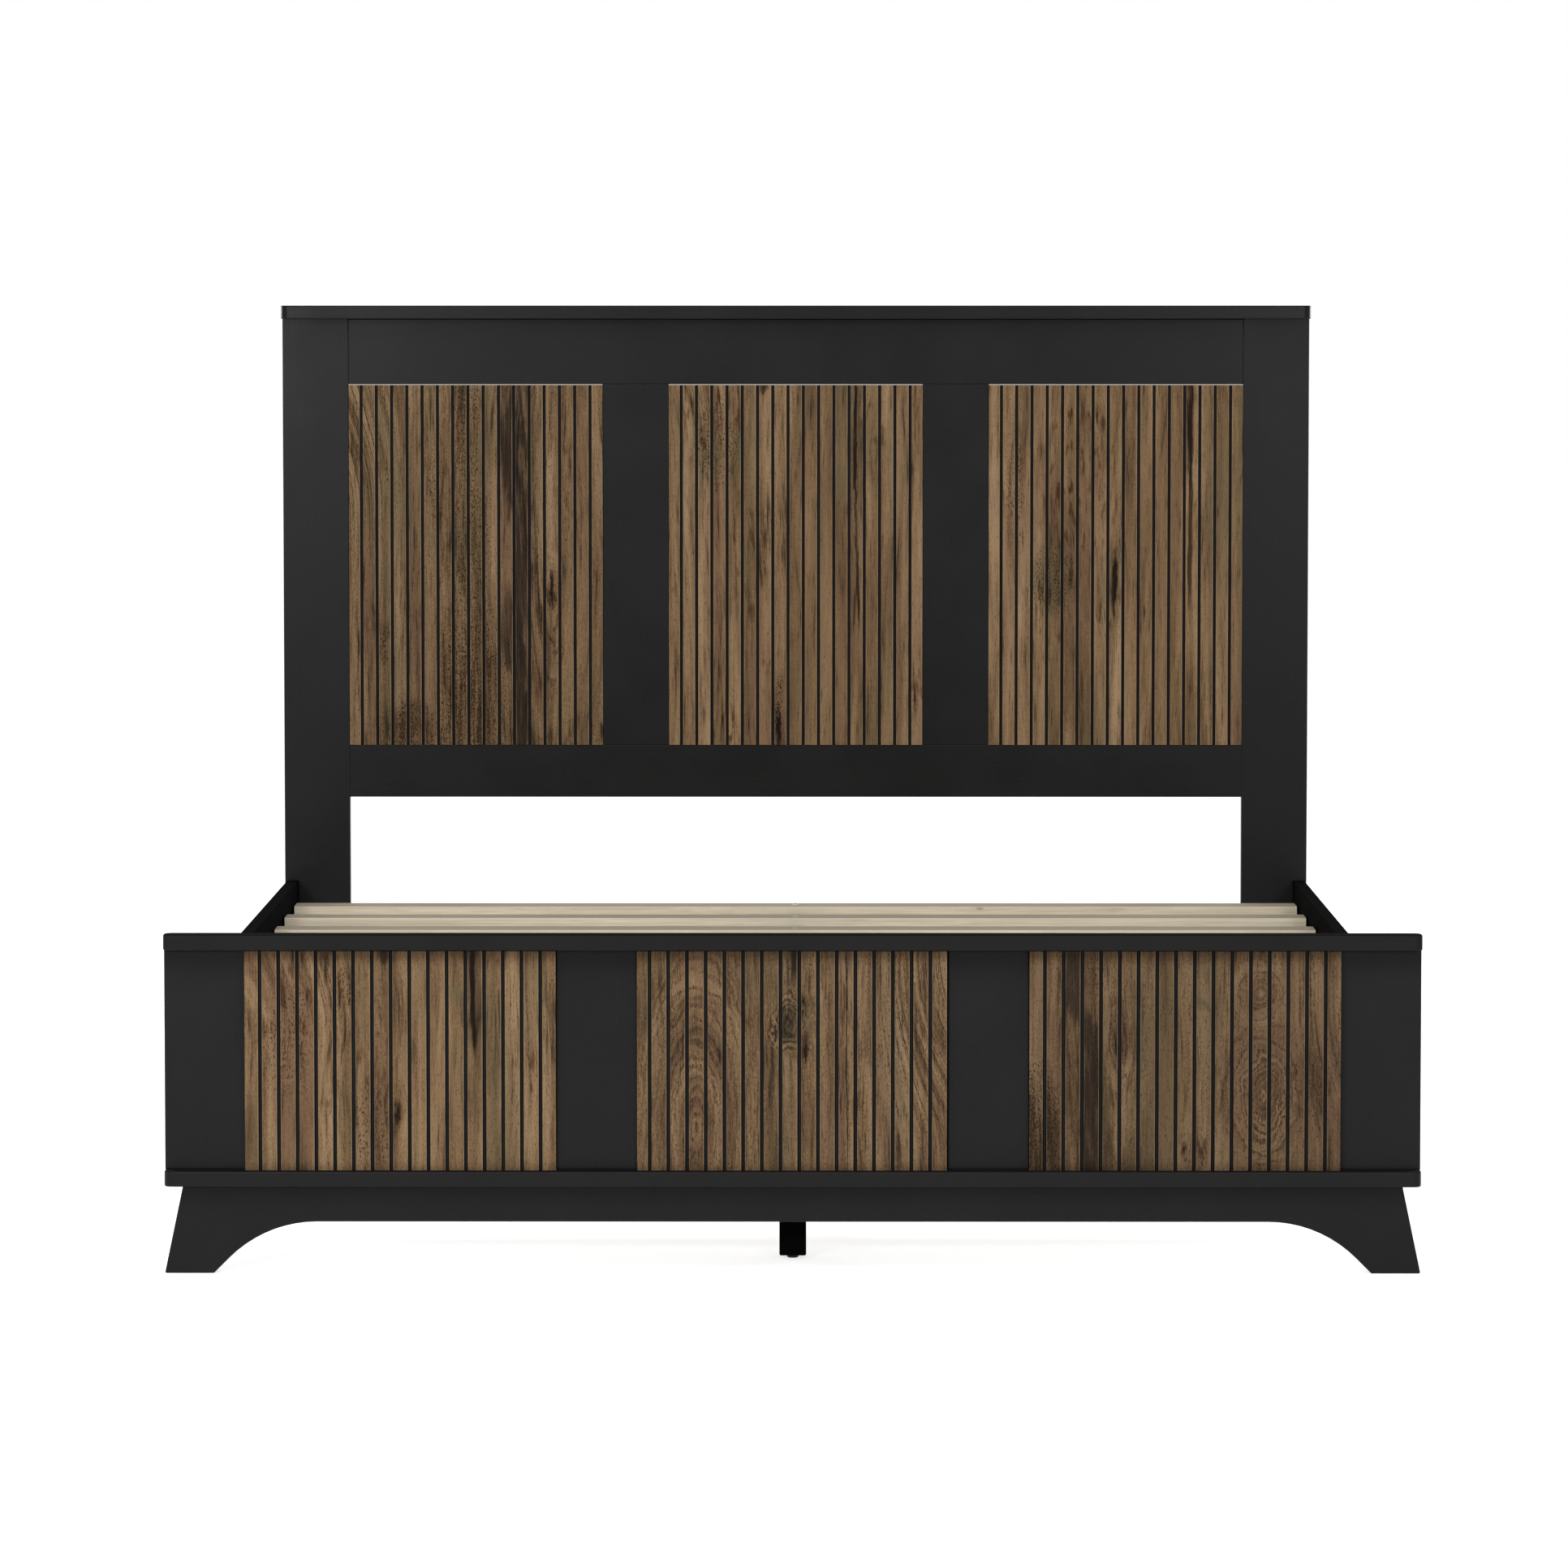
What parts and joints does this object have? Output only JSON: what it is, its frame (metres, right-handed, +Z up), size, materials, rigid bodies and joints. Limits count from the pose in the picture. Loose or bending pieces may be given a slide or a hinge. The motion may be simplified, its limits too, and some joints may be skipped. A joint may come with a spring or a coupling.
{
  "type": "bed frame",
  "caption": "Queen-size bed frame: grooved wood panels in a black headboard and footboard, side rails, a slatted base and a row of centre legs.",
  "frame": {"origin": "on the floor, under the middle of the overall box", "axes": "+X across the bed to the right seen from the foot, +Y from the foot to the head, +Z up"},
  "size_m": [1.618, 2.111, 1.237],
  "materials": {
    "black_paint": "satin black paint on board",
    "grooved_wood": "weathered brown oak face, black grooves",
    "slat_wood": "bare pale poplar",
    "dowel_beech": "bare fluted beech",
    "blackened_steel": "black zinc plate",
    "zinc_steel": "bright zinc plate",
    "black_plastic": "moulded plastic on a steel stud"
  },
  "bodies": {
    "bed_frame": {"barrel_nuts": "zinc_steel", "centre_leg_1": "black_paint", "centre_leg_2": "black_paint", "centre_leg_3": "black_paint", "centre_leg_4": "black_paint", "centre_rail": "black_paint", "corner_block_left": "black_paint", "corner_block_right": "black_paint", "corner_block_screws": "zinc_steel", "footboard_apron": "black_paint", "footboard_back_board": "black_paint", "footboard_cap": "black_paint", "footboard_dowels": "dowel_beech", "footboard_ledge": "black_paint", "footboard_panel_centre": "grooved_wood", "footboard_panel_left": "grooved_wood", "footboard_panel_right": "grooved_wood", "footboard_stile_inner_left": "black_paint", "footboard_stile_inner_right": "black_paint", "footboard_stile_outer_left": "black_paint", "footboard_stile_outer_right": "black_paint", "headboard_back_board": "black_paint", "headboard_cap": "black_paint", "headboard_dowels": "dowel_beech", "headboard_lower_rail": "black_paint", "headboard_panel_centre": "grooved_wood", "headboard_panel_left": "grooved_wood", "headboard_panel_right": "grooved_wood", "headboard_post_left": "black_paint", "headboard_post_right": "black_paint", "headboard_stile_left": "black_paint", "headboard_stile_right": "black_paint", "headboard_top_rail": "black_paint", "ledger_screws": "zinc_steel", "leg_bolts": "zinc_steel", "leveller_inserts": "zinc_steel", "rail_bolts": "blackened_steel", "side_rail_left": "black_paint", "side_rail_right": "black_paint", "slat_01": "slat_wood", "slat_02": "slat_wood", "slat_03": "slat_wood", "slat_04": "slat_wood", "slat_05": "slat_wood", "slat_06": "slat_wood", "slat_07": "slat_wood", "slat_08": "slat_wood", "slat_09": "slat_wood", "slat_10": "slat_wood", "slat_ledger_left": "black_paint", "slat_ledger_right": "black_paint", "slat_screws": "zinc_steel", "threaded_inserts": "zinc_steel"},
    "leveller_1": {"leveller_1": "black_plastic"},
    "leveller_2": {"leveller_2": "black_plastic"},
    "leveller_3": {"leveller_3": "black_plastic"},
    "leveller_4": {"leveller_4": "black_plastic"}
  },
  "joints": [
    {"name": "leveller_1_screw", "type": "slide", "parent": "bed_frame", "child": "leveller_1", "axis": [0, 0, -1], "range_m": [0, 0.012]},
    {"name": "leveller_2_screw", "type": "slide", "parent": "bed_frame", "child": "leveller_2", "axis": [0, 0, -1], "range_m": [0, 0.012]},
    {"name": "leveller_3_screw", "type": "slide", "parent": "bed_frame", "child": "leveller_3", "axis": [0, 0, -1], "range_m": [0, 0.012]},
    {"name": "leveller_4_screw", "type": "slide", "parent": "bed_frame", "child": "leveller_4", "axis": [0, 0, -1], "range_m": [0, 0.012]}
  ]
}
